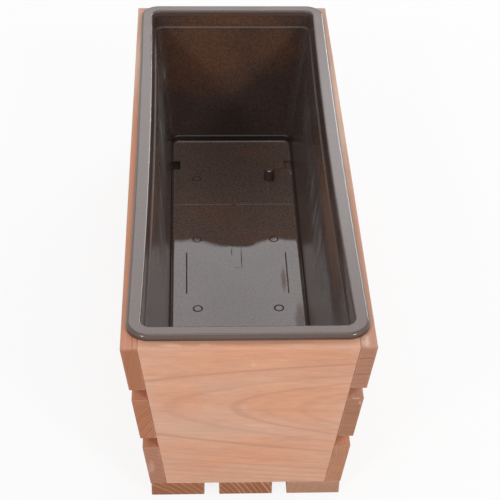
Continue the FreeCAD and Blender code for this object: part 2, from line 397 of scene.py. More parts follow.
class Blot(SharedEffect):
    """Soft ragged patch round a point."""

    title = "blot"
    vectors = ("Vector", "At", "Size")
    values = ("Ragged",)
    gives = ("Mask",)
    cloud: Point = (1.9, 4.0, 0.7)
    cloud_shift: float = 90.0
    ragged_span: Span = (-1.6, 1.6)
    fade: Span = (1.0, 0.2)

    def wire(self) -> dict:
        """One in the middle, fading to nothing at the ragged edge.

        Returns:
            Sockets to put out by name.
        """
        way = self.vector("SUBTRACT", self.given["Vector"], self.given["At"])
        way = self.vector("DIVIDE", way, self.given["Size"])
        shifted = self.vector("ADD", way, self.scaled(self.given["At"], self.cloud_shift))
        cloud = self.span(self.noise(shifted, *self.cloud), *self.ragged_span)
        ragged = self.times(cloud, self.given["Ragged"])
        return {"Mask": self.rise(self.plus(self.vector("LENGTH", way), ragged), *self.fade)}


class WoodFibre(SharedEffect):
    """Fibres and pores drawn out along X."""

    title = "wood fibre"
    vectors = ("Vector", "Shift")
    gives = ("Streak", "Pore", "Cloud")
    broad: Point = (11.0, 210.0, 210.0)
    broad_layers: Span = (3.0, 0.65)
    fine: Point = (45.0, 560.0, 560.0)
    fine_layers: Span = (2.0, 0.6)
    pore: Point = (120.0, 2300.0, 2300.0)
    cloud: Point = (6.0, 24.0, 24.0)
    fine_share: float = 0.45
    pore_span: Span = (0.62, 0.72)

    def wire(self) -> dict:
        """Broad and fine streaks, short dark pores and slow clouds of tone.

        Returns:
            Sockets to put out by name.
        """
        place = self.vector("ADD", self.given["Vector"], self.given["Shift"])
        broad = self.drawn(place, self.broad, *self.broad_layers)
        fine = self.drawn(place, self.fine, *self.fine_layers)
        streak = self.plus(self.times(broad, 1.0 - self.fine_share), self.times(fine, self.fine_share))
        pore = self.rise(self.drawn(place, self.pore, 1.0), *self.pore_span)
        return {"Streak": streak, "Pore": pore, "Cloud": self.drawn(place, self.cloud)}


class EdgeWear(SharedEffect):
    """Rubbed arrises of a board, from the distances to its faces."""

    title = "edge wear"
    vectors = ("Vector", "Half", "Place")
    values = ("Reach",)
    gives = ("Mask",)
    near_span: Span = (1.0, 0.15)
    cloud: Point = (85.0, 4.0, 0.65)
    broken_span: Span = (0.36, 0.66)

    def wire(self) -> dict:
        """Strong where two faces meet, broken up along the edge.

        Returns:
            Sockets to put out by name.
        """
        inset = self.vector("SUBTRACT", self.given["Half"], self.vector("ABSOLUTE", self.given["Vector"]))
        near = []
        for distance in self.split(inset):
            near.append(self.rise(self.math("DIVIDE", distance, self.given["Reach"]), *self.near_span))
        edge = self.most(*(self.times(near[i], near[j]) for i, j in ((0, 1), (0, 2), (1, 2))))
        broken = self.rise(self.noise(self.given["Place"], *self.cloud), *self.broken_span)
        return {"Mask": self.times(edge, broken)}


class SawMarks(SharedEffect):
    """Fine ridges that a saw leaves across an end face."""

    title = "saw marks"
    vectors = ("Vector",)
    values = ("Slope",)
    gives = ("Ridge",)
    layers: Span = (3.0, 0.7)
    ridge_scale: float = 900.0
    run_scale: float = 30.0

    def wire(self) -> dict:
        """Close slanting lines, unevenly deep.

        Returns:
            Sockets to put out by name.
        """
        x, _, z = self.split(self.given["Vector"])
        across = self.plus(z, self.times(x, self.given["Slope"]))
        place = self.join(self.times(across, self.ridge_scale), self.times(x, self.run_scale), 0.0)
        return {"Ridge": self.noise(place, 1.0, *self.layers)}


class Scuffs(SharedEffect):
    """Pale rub marks that run up and down a moulding, and settled dust."""

    title = "scuffs"
    vectors = ("Vector",)
    gives = ("Streak", "Line", "Speck", "Cloud")
    patch: Point = (11.0, 11.0, 6.0)
    patch_span: Span = (0.42, 0.66)
    line: Point = (150.0, 150.0, 8.0)
    line_layers: Span = (4.0, 0.7)
    line_span: Span = (0.5, 0.78)
    scratch: Point = (900.0, 900.0, 26.0)
    scratch_span: Span = (0.66, 0.76)
    speck: Point = (1100.0, 2.0, 0.6)
    speck_span: Span = (0.62, 0.76)
    cloud_scale: float = 9.0

    def wire(self) -> dict:
        """Streaks within slow patches, the bare streaks, small specks and broad clouds.

        Returns:
            Sockets to put out by name.
        """
        place = self.given["Vector"]
        patch = self.rise(self.drawn(place, self.patch), *self.patch_span)
        line = self.drawn(place, self.line, *self.line_layers)
        scratch = self.rise(self.drawn(place, self.scratch, 1.0), *self.scratch_span)
        marks = self.most(self.rise(line, *self.line_span), scratch)
        speck = self.rise(self.noise(place, *self.speck), *self.speck_span)
        cloud = self.noise(place, self.cloud_scale)
        return {"Streak": self.times(marks, patch), "Line": line, "Speck": speck, "Cloud": cloud}


class FourGrooves(SharedEffect):
    """Round grooves at four places that mirror each other."""

    title = "four grooves"
    vectors = ("Vector", "At")
    values = ("Radius", "Width")
    gives = ("Mask",)
    fade: Span = (1.0, 0.55)

    def wire(self) -> dict:
        """One along the grooves, seen from above.

        Returns:
            Sockets to put out by name.
        """
        flat = self.stretched(self.vector("ABSOLUTE", self.given["Vector"]), (1.0, 1.0, 0.0))
        away = self.minus(self.vector("DISTANCE", flat, self.given["At"]), self.given["Radius"])
        share = self.math("DIVIDE", self.math("ABSOLUTE", away), self.given["Width"])
        return {"Mask": self.rise(share, *self.fade)}


@dataclass(frozen=True)
class Ring:
    """A ring that stands out: its radius, strength, half its width and whether it shows only low down."""

    radius: float
    strength: float
    soft: float = 0.8
    low: bool = False


@dataclass(frozen=True)
class Patch:
    """A patch of a surface: its place, its half sizes, its strength and how ragged it is."""

    at: Point
    size: Point
    strength: float = 0.5
    ragged: float = 0.7

    def shape(self, bench: FinishBench) -> Out:
        """One in the middle of the patch, fading to nothing round it."""
        at, size = mm(*self.at), mm(*self.size)
        return Blot.put(bench, Vector=bench.place, At=at, Size=size, Ragged=self.ragged)["Mask"]

    def mask(self, bench: FinishBench) -> Out:
        """The patch's shape at its strength."""
        return bench.times(self.shape(bench), self.strength)


class Finish:
    """A surface finish that makes one material."""

    def paint(self, bench: FinishBench) -> None:
        """Fill the shader of a new material."""
        raise NotImplementedError

    def make(self, name: str) -> bpy.types.Material:
        """Build the material.

        Args:
            name: name of the material.

        Returns:
            The material.
        """
        bench = FinishBench(name)
        self.paint(bench)
        return bench.material


@dataclass(frozen=True)
class WoodTone:
    """Colours of one board, and how strongly its rings show."""

    face: Colour
    warm: Colour
    line: Colour
    end: Optional[Colour] = None
    end_line: Optional[Colour] = None
    contrast: float = 0.4
    end_contrast: float = 0.5


@dataclass(frozen=True)
class WoodFigure:
    """How a board was cut from its log: where the pith lies from its middle, its rings and its marks, among
    them patches of painted shadow and painted sheen.
    """

    pith: Point
    lean: Point = (0.0, 0.0, 0.0)
    spacing: float = 4.0
    wander: float = 10.0
    uneven: float = 1.4
    late: float = 0.4
    shift: Point = (0, 0, 0)
    quiet_above: Optional[float] = None
    rings: tuple = ()
    chips_and_sheen: tuple = ()
    glows: tuple = ()
    shades: tuple = ()


@dataclass(frozen=True)
class BoardSpace:
    """Place of a board: its middle, the way out of its broad face, and half its sizes."""

    middle: Point
    face_way: Point
    half: Point
    grain: Grain


@dataclass(frozen=True)
class OiledWood(Finish):
    """Planed and oiled softwood."""

    tone: WoodTone
    figure: WoodFigure
    space: BoardSpace
    end_feather: float = 0.7 * MM
    wear_reach: float = 2.2 * MM
    quiet_feather: float = 45.0 * MM
    quiet_span: Span = (0.5, 1.0)
    low_feather: float = 16.0 * MM
    wear: Colour = rgb(222, 184, 158)
    wear_share: float = 0.22
    # Pale colour of chips, and of the painted sheen on the far halves of the top slats.
    chip_and_sheen: Colour = rgb(232, 203, 180)
    chip_span: Span = (0.2, 1.8)
    cloud_span: Span = (0.3, 0.7)
    pore_share: float = 0.16
    streak_span: Span = (0.7, 1.3)
    streak_height: float = 0.5
    line_depth: float = 0.3
    saw_slope: float = 0.25
    saw_span: Span = (0.66, 1.34)
    band_share: float = 0.16
    rough_span: Span = (0.52, 0.82)
    specular: float = 0.5
    relief: float = 0.35 * MM
    relief_share: float = 0.6

    def grain_place(self, bench: FinishBench) -> Out:
        """Place in the log, with X along the pith.

        Args:
            bench: bench of the material.

        Returns:
            Output socket.
        """
        pith = Vector(self.space.middle) + Vector(mm(*self.figure.pith))
        turn = [math.radians(angle) for angle in self.figure.lean]
        turn[2] += math.radians(self.space.grain.value)
        node = bench.add("ShaderNodeMapping", {"vector_type": "TEXTURE"}, Vector=bench.place,
                         Location=tuple(pith), Rotation=tuple(turn))
        return node.outputs[0]

    def board_place(self, bench: FinishBench) -> Out:
        """Distances from the board's middle: through its broad face, along Y or X, and upright.

        Args:
            bench: bench of the material.

        Returns:
            Output socket.
        """
        inner = bench.vector("SUBTRACT", bench.place, self.space.middle)
        through = bench.vector("DOT_PRODUCT", inner, self.space.face_way)
        x, y, z = bench.split(inner)
        return bench.join(through, y if self.space.grain is Grain.ALONG else x, z)

    def ring_lines(self, bench: FinishBench, rings: dict, fibre: dict, height: Feed) -> Out:
        """Dark late wood of all the rings.

        Args:
            bench: bench of the material.
            rings: outputs of the growth rings.
            fibre: outputs of the fibres.
            height: distance above the board's middle.

        Returns:
            Output socket from 0 to 1.
        """
        lines = bench.times(rings["Line"], self.tone.contrast)
        if self.figure.quiet_above is not None:
            start = self.figure.quiet_above * MM
            calm = bench.rise(height, start + self.quiet_feather, start)
            lines = bench.times(lines, bench.span(calm, *self.quiet_span))
        for ring in self.figure.rings:
            mark = RingMark.put(bench, Radius=rings["Radius"], At=ring.radius * MM, Soft=ring.soft * MM,
                                Broken=fibre["Streak"])
            shown = bench.times(mark["Mask"], ring.strength)
            if ring.low:
                shown = bench.times(shown, bench.rise(height, self.low_feather, -self.low_feather))
            lines = bench.most(lines, shown)
        return lines

    def face_colour(self, bench: FinishBench, lines: Feed, fibre: dict) -> Out:
        """Colour of the planed faces.

        Args:
            bench: bench of the material.
            lines: dark late wood.
            fibre: outputs of the fibres.

        Returns:
            Output socket.
        """
        tone = self.tone
        colour = bench.blend(bench.rise(fibre["Cloud"], *self.cloud_span), tone.face, tone.warm)
        # Shade patches blend towards the line colour; on the front panel one of them is painted shadow under
        # the rim's lip.
        for patches, tint in ((self.figure.glows, tone.warm), (self.figure.shades, tone.line)):
            for patch in patches:
                colour = bench.blend(patch.mask(bench), colour, tint)
        for share in (lines, bench.times(fibre["Pore"], self.pore_share)):
            colour = bench.blend(share, colour, tone.line)
        return bench.shaded(colour, bench.span(fibre["Streak"], *self.streak_span))

    def end_colour(self, bench: FinishBench, lines: Feed, band: Feed, saw: Feed) -> Out:
        """Colour of the sawn ends.

        Args:
            bench: bench of the material.
            lines: dark late wood.
            band: tone of each year.
            saw: saw marks.

        Returns:
            Output socket.
        """
        tone = self.tone
        share = bench.times(lines, tone.end_contrast / tone.contrast)
        colour = bench.blend(share, tone.end, tone.end_line)
        colour = bench.shaded(colour, bench.span(saw, *self.saw_span))
        return bench.blend(bench.times(band, self.band_share), colour, tone.warm)

    def paint(self, bench: FinishBench) -> None:
        """Fill the shader: faces, sawn ends, chips, painted sheen and rubbed edges.

        Args:
            bench: bench of the material.
        """
        figure = self.figure
        grain = self.grain_place(bench)
        board = self.board_place(bench)
        _, along, height = bench.split(board)
        shift = mm(*figure.shift)
        rings = GrowthRings.put(bench, Vector=grain, Spacing=figure.spacing * MM, Wander=figure.wander * MM,
                                Uneven=figure.uneven, Late=figure.late, Shift=shift)
        fibre = WoodFibre.put(bench, Vector=grain, Shift=shift)
        wear_and_glint = EdgeWear.put(bench, Vector=board, Half=self.space.half, Reach=self.wear_reach,
                            Place=bench.place)
        streak = fibre["Streak"]
        lines = self.ring_lines(bench, rings, fibre, height)
        colour = self.face_colour(bench, lines, fibre)
        relief = bench.minus(bench.times(streak, self.streak_height), bench.times(lines, self.line_depth))
        if self.space.grain is Grain.ALONG:
            saw = SawMarks.put(bench, Vector=bench.place, Slope=self.saw_slope)["Ridge"]
            edge = self.space.half[1] - self.end_feather
            ends = bench.rise(bench.math("ABSOLUTE", along), edge - self.end_feather, edge)
            colour = bench.blend(ends, colour, self.end_colour(bench, lines, rings["Band"], saw))
            relief = bench.lerp(ends, relief, saw)
        # Pale chips, and painted sheen along the far halves of the top slats' top faces.
        for chip_and_sheen in figure.chips_and_sheen:
            low, high = (chip_and_sheen.strength * share for share in self.chip_span)
            share = bench.times(chip_and_sheen.shape(bench), bench.span(streak, low, high))
            colour = bench.blend(share, colour, self.chip_and_sheen)
        bench.give({
            "Base Color": bench.blend(bench.times(wear_and_glint["Mask"], self.wear_share), colour, self.wear),
            "Roughness": bench.span(streak, *self.rough_span),
            "Specular IOR Level": self.specular,
            "Normal": bench.bump(relief, self.relief, self.relief_share),
        })


@dataclass(frozen=True)
class LinerZones:
    """Masks of the liner's regions, each one on its region and nothing elsewhere."""

    floor: Out
    rim: Out
    sides: Out
    ledge: Out
    foot: Out
    pocket: Out
    inside: Out


@dataclass(frozen=True)
class MouldedLiner(Finish):
    """Glossy dark brown moulded plastic: a satin rim, rubbed walls and a floor that is not quite flat."""

    deep: Colour = rgb(74, 58, 52)
    warm: Colour = rgb(116, 78, 58)
    base: Colour = rgb(95, 74, 64)
    rim: Colour = rgb(94, 77, 70)
    haze: Colour = rgb(154, 151, 150)
    # Colour of the painted shade, and of the floor's scratches.
    dark: Colour = rgb(44, 36, 33)
    rim_low: float = 187.6 * MM
    rim_high: float = 189.4 * MM
    skirt_x: float = 92.0 * MM
    skirt_y: float = 283.0 * MM
    floor_low: float = 22.6 * MM
    floor_high: float = 24.0 * MM
    foot_low: float = 30.0 * MM
    foot_high: float = 42.0 * MM
    ledge_low: float = 173.4 * MM
    ledge_high: float = 176.8 * MM
    ledge_reach: float = 80.0 * MM
    feather: float = 1.0 * MM
    middle_y: float = 3.0 * MM
    pocket_low: float = 20.2 * MM
    pocket_high: float = 21.0 * MM
    groove_places: tuple = (mm(43.9, 59.8, 0), mm(43.9, 177.7, 0))
    groove_radius: float = 4.7 * MM
    groove_width: float = 0.95 * MM
    wall_level: float = 100.0 * MM
    wall_x: float = 80.6 * MM
    wall_y: float = 267.1 * MM
    wall_slope_x: float = 0.095
    wall_slope_y: float = 0.1028
    bow: float = 1.6 * MM
    bow_slope: float = 0.0163
    bow_reach: float = 240.0 * MM
    collar_level: float = 175.3 * MM
    collar_step: float = 1.5 * MM
    wall_skin: float = 0.7 * MM
    wall_feather: float = 0.3 * MM
    end_reach: float = 254.0 * MM
    end_slope: float = 0.115
    end_feather: float = 4.0 * MM
    mound_middle: Point = mm(-2, 4, 21.5)
    mound_size: Point = mm(62, 96, 200)
    mound_height: float = 1.5
    waves: Point = (15.0, 1.0, 0.4)
    wave_stretch: Point = (1.0, 1.0, 0.5)
    wave_height: float = 0.9
    grit: Point = (1100.0, 2.0, 0.5)
    grit_span: Span = (0.008, 0.01)
    mottle: Point = (380.0, 4.0, 0.8)
    wall_mottle: Span = (-0.1, 2.1)
    rim_mottle: Span = (0.7, 1.3)
    rub_span: Span = (0.4, 0.62)
    streak_shares: Span = (0.1, 0.3)
    side_dust: Span = (0.02, 0.13)
    floor_dust: Span = (0.02, 0.12)
    speck_share: float = 0.14
    foot_shade: float = 0.8
    ledge_shade: float = 0.5
    wall_rough: float = 0.25
    floor_rough: float = 0.02
    rim_rough: float = 0.16
    ledge_rough: float = 0.5
    cut_rough: float = 0.6
    rub_rough: float = 0.2
    speck_rough: float = 0.05
    ior: float = 1.5
    glows: tuple = (
        Patch((-30, 272, 140), (90, 40, 76), 0.62, 0.3),
        Patch((45, 272, 150), (50, 40, 50), 0.5, 0.3),
        Patch((0, 279, 184), (110, 8, 14), 0.6, 0.2),
        Patch((24, 236, 21.5), (34, 24, 8), 0.45, 0.7),
        Patch((58, 196, 21.5), (14, 22, 8), 0.5, 0.7),
        Patch((-22, 118, 21.5), (44, 30, 8), 0.35, 0.7),
        Patch((26, 70, 21.5), (50, 26, 8), 0.35, 0.7),
        Patch((87, -60, 162), (20, 190, 24), 0.9, 0.4),
        Patch((-87, -60, 164), (20, 150, 20), 0.7, 0.4),
    )
    rubs: tuple = (
        Patch((82, 130, 120), (20, 150, 30), 0.22, 0.6),
        Patch((83, -10, 115), (20, 130, 40), 0.62, 0.5),
        Patch((-82, 150, 120), (20, 150, 70), 0.75, 0.4),
        Patch((-82, -10, 105), (20, 120, 50), 0.5, 0.4),
    )
    # Painted light: painted reflection on the right rim and on the front lip, and painted light over the
    # shade of the right stand pocket.
    painted_light_patches: tuple = (
        Patch((100, -30, 194), (18, 260, 9), 0.22, 0.2),
        Patch((0, -292, 190), (110, 6, 5), 0.12, 0.2),
        Patch((72, 194, 24), (5, 8, 6), 0.4, 0.9),
    )
    dulls: tuple = (
        Patch((51.2, -10, 21.5), (5, 34, 8), 0.36, 0.2),
        Patch((66, -76, 21.5), (9.5, 46, 8), 0.36, 0.25),
        Patch((90, -130, 160), (16, 150, 46), 0.4, 0.4),
    )
    scratches: tuple = (
        Patch((5.8, 26, 21.5), (0.9, 29, 8), 1.0, 0.05),
        Patch((-5.1, 39.5, 21.5), (0.9, 9, 8), 0.9, 0.05),
        Patch((0.5, 12, 21.5), (5, 1.2, 8), 0.8, 0.05),
    )

    def inner_faces(self, bench: FinishBench, across: Feed, reach: Feed, z: Feed) -> Out:
        """Tell the inner faces of the walls from the outer ones.

        Args:
            bench: bench of the material.
            across: distance from the middle across the trough.
            reach: distance from the middle along the trough.
            z: height.

        Returns:
            Output socket, one on the inner faces.
        """
        over = bench.minus(z, self.wall_level)
        collar = bench.rise(z, self.collar_level - self.wall_feather, self.collar_level + self.wall_feather)
        share = bench.math("POWER", bench.math("DIVIDE", reach, self.bow_reach), 2.0)
        bow = bench.times(share, bench.plus(bench.times(over, self.bow_slope), self.bow))
        side = bench.plus(bench.times(over, self.wall_slope_x), self.wall_x, bow)
        end = bench.plus(bench.times(over, self.wall_slope_y), self.wall_y)
        past = bench.most(bench.minus(across, side), bench.minus(reach, end))
        depth = bench.minus(past, bench.times(collar, self.collar_step))
        return bench.rise(depth, self.wall_skin + self.wall_feather, self.wall_skin - self.wall_feather)

    def zones(self, bench: FinishBench) -> LinerZones:
        """Find the liner's regions.

        Args:
            bench: bench of the material.

        Returns:
            The masks.
        """
        x, y, z = bench.split(bench.place)
        across = bench.math("ABSOLUTE", x)
        reach = bench.math("ABSOLUTE", bench.minus(y, self.middle_y))
        floor = bench.rise(z, self.floor_high, self.floor_low)
        lean = bench.times(bench.minus(z, self.floor_high), self.end_slope)
        ends = bench.rise(bench.minus(reach, lean), self.end_reach, self.end_reach + self.end_feather)
        rim = bench.most(
            bench.rise(across, self.skirt_x, self.skirt_x + self.feather),
            bench.rise(reach, self.skirt_y, self.skirt_y + self.feather),
            bench.rise(z, self.rim_low, self.rim_high))
        upright = bench.times(bench.rest(rim), bench.rest(floor))
        sides = bench.times(
            upright, bench.rest(ends), bench.rise(z, self.foot_low, self.foot_high),
            bench.rise(z, self.ledge_high, self.ledge_low))
        ledge = bench.times(
            bench.rise(z, self.ledge_low, self.ledge_low + self.feather),
            bench.rise(across, self.ledge_reach, self.ledge_reach + 2 * self.feather),
            bench.rise(z, self.ledge_high, self.ledge_high - self.feather))
        foot = bench.times(upright, bench.rise(z, self.foot_low + self.feather, self.foot_low))
        left = bench.rise(x, self.feather, 0.0)
        # Painted shade lies in the left stand pocket only.
        pocket = bench.times(left, bench.rise(z, self.pocket_high, self.pocket_low))
        inside = self.inner_faces(bench, across, reach, z)
        return LinerZones(floor, rim, sides, ledge, foot, pocket, inside)

    def strongest(self, bench: FinishBench, patches: tuple) -> Out:
        """Strongest of several patches."""
        return bench.most(*(patch.mask(bench) for patch in patches))

    def swell(self, bench: FinishBench, floor: Feed) -> Out:
        """Relief of the moulding in millimetres: slow waves, and a low mound in the middle of the floor.

        Args:
            bench: bench of the material.
            floor: one on the floor.

        Returns:
            Output socket.
        """
        waves = bench.noise(bench.stretched(bench.place, self.wave_stretch), *self.waves)
        way = bench.vector("SUBTRACT", bench.place, self.mound_middle)
        away = bench.vector("LENGTH", bench.vector("DIVIDE", way, self.mound_size))
        mound = bench.rise(away, 1.0, 0.0)
        return bench.plus(bench.times(waves, self.wave_height), bench.times(mound, floor, self.mound_height))

    def scratches_and_groove_shade(self, bench: FinishBench, floor: Feed) -> Out:
        """Scratches of the floor, and painted shade in the round grooves of the drain marks.

        Args:
            bench: bench of the material.
            floor: one on the floor.

        Returns:
            Output socket from 0 to 1.
        """
        masks = [self.strongest(bench, self.scratches)]
        centred = bench.vector("SUBTRACT", bench.place, (0.0, self.middle_y, 0.0))
        # Painted shade in the round grooves of the drain marks.
        for at in self.groove_places:
            groove = FourGrooves.put(bench, Vector=centred, At=at, Radius=self.groove_radius,
                                     Width=self.groove_width)
            masks.append(bench.times(groove["Mask"], floor))
        return bench.most(*masks)

    def film_and_painted_light(self, bench: FinishBench, zones: LinerZones, marks: dict, rub: Feed) -> Out:
        """Pale film of rubs, streaks and dust, with painted reflection on the right rim and the front lip,
        and painted light over the shade of the right stand pocket.

        Args:
            bench: bench of the material.
            zones: the liner's regions.
            marks: outputs of the scuffs.
            rub: rubbed places.

        Returns:
            Output socket.
        """
        return bench.plus(
            bench.times(rub, bench.rise(marks["Line"], *self.rub_span)),
            bench.times(marks["Streak"], zones.sides, bench.lerp(zones.inside, *self.streak_shares)),
            bench.times(zones.sides, bench.span(marks["Cloud"], *self.side_dust)),
            bench.times(zones.floor, bench.span(marks["Cloud"], *self.floor_dust)),
            self.strongest(bench, self.painted_light_patches))

    def paint(self, bench: FinishBench) -> None:
        """Fill the shader: colours with painted shade and painted light, gloss and relief by region.

        Args:
            bench: bench of the material.
        """
        zones = self.zones(bench)
        marks = Scuffs.put(bench, Vector=bench.place)
        rub = bench.times(self.strongest(bench, self.rubs), zones.sides, zones.inside)
        scratches_and_groove_shade = self.scratches_and_groove_shade(bench, zones.floor)
        mottle = bench.noise(bench.place, *self.mottle)
        grain = bench.lerp(zones.rim, bench.span(mottle, *self.wall_mottle),
                           bench.span(mottle, *self.rim_mottle))
        # Painted shade: the left stand pocket, the foot of the walls, the collar's ledge and the drain
        # grooves are darkened, as are the floor's scratches.
        shade = bench.most(zones.pocket, bench.times(zones.foot, self.foot_shade),
                           bench.times(zones.ledge, self.ledge_shade), scratches_and_groove_shade)
        colour = bench.blend(zones.floor, bench.blend(zones.rim, self.deep, self.rim), self.base)
        colour = bench.blend(bench.times(self.strongest(bench, self.glows), zones.inside), colour, self.warm)
        for pale in (self.film_and_painted_light(bench, zones, marks, rub), bench.times(marks["Speck"], self.speck_share)):
            colour = bench.blend(pale, colour, self.haze)
        colour = bench.blend(shade, bench.shaded(colour, grain), self.dark)
        gloss = bench.lerp(zones.floor, self.wall_rough, self.floor_rough)
        gloss = bench.lerp(zones.rim, gloss, self.rim_rough)
        rough = bench.plus(
            bench.lerp(zones.ledge, gloss, self.ledge_rough),
            bench.times(scratches_and_groove_shade, self.cut_rough),
            bench.times(rub, self.rub_rough),
            bench.times(self.strongest(bench, self.dulls), zones.inside),
            bench.times(marks["Speck"], self.speck_rough))
        grit = bench.times(bench.noise(bench.place, *self.grit), bench.span(zones.rim, *self.grit_span))
        relief = bench.plus(self.swell(bench, zones.floor), grit)
        bench.give({
            "Base Color": colour,
            "Roughness": rough,
            "IOR": self.ior,
            "Normal": bench.bump(relief, MM),
        })


@dataclass(frozen=True)
class MouldedPlug(Finish):
    """Glossy dark moulded plastic with a highlight painted on the front of its top edge."""

    dark: Colour = rgb(92, 76, 70)
    haze: Colour = rgb(104, 96, 90)
    glint: Colour = rgb(236, 230, 228)
    # Painted highlight on the front of the plug's top edge.
    wear_and_glint: Patch = Patch((43.4, 174.6, 36.6), (3.6, 1.6, 1.3), 0.9, 0.2)
    mark_scale: float = 4.0
    haze_share: float = 0.35
    rough_span: Span = (0.06, 0.2)
    ior: float = 1.55
    relief: float = 0.1 * MM

    def paint(self, bench: FinishBench) -> None:
        """Fill the shader.

        Args:
            bench: bench of the material.
        """
        marks = Scuffs.put(bench, Vector=bench.scaled(bench.place, self.mark_scale))
        colour = bench.blend(bench.times(marks["Streak"], self.haze_share), self.dark, self.haze)
        bench.give({
            # The glint colour paints the highlight on the top edge.
            "Base Color": bench.blend(self.wear_and_glint.mask(bench), colour, self.glint),
            "Roughness": bench.span(marks["Cloud"], *self.rough_span),
            "IOR": self.ior,
            "Normal": bench.bump(marks["Cloud"], self.relief),
        })


@dataclass(frozen=True)
class ZincSteel(Finish):
    """Bright zinc on steel screws."""

    bright: Colour = rgb(196, 194, 186)
    dull: Colour = rgb(138, 134, 124)
    mark_scale: float = 6.0
    rough_span: Span = (0.22, 0.5)
    relief: float = 0.05 * MM

    def paint(self, bench: FinishBench) -> None:
        """Fill the shader.

        Args:
            bench: bench of the material.
        """
        marks = Scuffs.put(bench, Vector=bench.scaled(bench.place, self.mark_scale))
        bench.give({
            "Base Color": bench.blend(marks["Cloud"], self.bright, self.dull),
            "Roughness": bench.span(marks["Cloud"], *self.rough_span),
            "Metallic": 1.0,
            "Normal": bench.bump(marks["Speck"], self.relief),
        })


def dress(node: str, material: bpy.types.Material) -> None:
    """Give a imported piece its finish.

    Args:
        node: name of the piece.
        material: finish.
    """
    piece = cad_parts[node]
    piece.data.materials.clear()
    piece.data.materials.append(material)
    log.info("dressed %s with %s", node, material.name)


@dataclass
class EndPanels:
    """The two trapezoid end panels, flat sawn with the pith behind their outer faces."""

    thickness: float = 15.0 * MM
    tone: WoodTone = WoodTone(
        face=rgb(215, 169, 143), warm=rgb(218, 157, 124), line=rgb(160, 114, 94), contrast=0.2)
    front: WoodFigure = WoodFigure(
        pith=(0, 73.3, 12.5), lean=(0.0, 1.63, -4.28), spacing=2.3, wander=2.4, quiet_above=-55,
        rings=(
            Ring(77, 0.15, 0.7), Ring(79.2, 0.11, 0.7), Ring(81.1, 0.3, 0.7), Ring(85.6, 0.2, 1.0),
            Ring(93.1, 0.38, 1.2), Ring(99.8, 0.16, 1.2, True), Ring(103.2, 0.2, 1.1, True),
            Ring(108.4, 0.24, 1.1, True), Ring(113.2, 0.22, 1.1, True), Ring(117.7, 0.22, 1.1, True),
            Ring(122.2, 0.2, 1.1, True),
        ),
        glows=(
            Patch((-62, -300, 128), (40, 20, 34), 0.7, 0.4),
            Patch((45, -300, 118), (60, 20, 40), 0.7, 0.4),
            Patch((-5, -300, 160), (60, 20, 24), 0.4, 0.4),
            Patch((-62, -300, 165), (45, 20, 26), 0.6, 0.4),
            Patch((62, -300, 165), (45, 20, 26), 0.5, 0.4),
        ),
        # The first shade patch is painted shadow that the rim's lip casts on the panel's top edge; the
        # second only darkens the upper right of the front face.
        shades=(
            Patch((0, -292.5, 189), (140, 5.5, 4), 0.5, 0.15),
            Patch((74, -300, 168), (44, 6, 24), 0.14, 0.4),
        ),
        chips_and_sheen=(
            Patch((-68, -295, 188.5), (12, 2.6, 3), 0.4, 0.9),
            Patch((-38, -294.5, 188.5), (9, 2.6, 3), 0.32, 0.9),
            Patch((44, -296, 188.5), (40, 2.4, 3), 0.2, 0.9),
            Patch((4, -300, 169), (2, 3, 5), 0.2, 0.5),
        ))
    back: WoodFigure = WoodFigure(
        pith=(20, -66, -14), lean=(0.0, -1.2, -3.6), spacing=2.6, wander=4, shift=(400, 200, 100),
        rings=(
            Ring(72, 0.2, 0.7), Ring(76.5, 0.3, 0.8), Ring(84, 0.28, 1.0), Ring(95, 0.24, 1.2),
            Ring(104, 0.22, 1.2),
        ))

    def dress(self) -> None:
        """Finish both panels."""
        for node, figure in (("end_panel_front", self.front), ("end_panel_back", self.back)):
            low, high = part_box(node)
            half = (self.thickness / 2, high.x, (high.z - low.z) / 2)
            space = BoardSpace(tuple((low + high) / 2), (0.0, 1.0, 0.0), half, Grain.ACROSS)
            dress(node, OiledWood(self.tone, figure, space).make(node + "_wood"))


@dataclass(frozen=True)
class Board:
    """Cut, end-grain colours and face colours of one lengthwise board."""

    figure: WoodFigure
    end: Colour
    end_line: Colour
    end_contrast: float = 0.5
    face: Colour = rgb(192, 144, 119)
    warm: Colour = rgb(194, 137, 109)

    def dress(self, node: str, slot: Slot, line: Colour, way: Point,
              thickness: Optional[float] = None) -> None:
        """Finish the board.

        Args:
            node: name of the piece.
            line: colour of the rings on the planed faces.
            way: way out of the broad face.
            thickness: thickness of a leaning board, whose box is wider than it is thick.
        """
        low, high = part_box(node)
        half = (high - low) / 2
        if thickness is not None:
            half.x = thickness / 2
        space = BoardSpace(tuple((low + high) / 2), way, tuple(half), Grain.ALONG)
        tone = WoodTone(self.face, self.warm, line, self.end, self.end_line, end_contrast=self.end_contrast)
        dress(node, OiledWood(tone, self.figure, space).make(node + "_wood"))


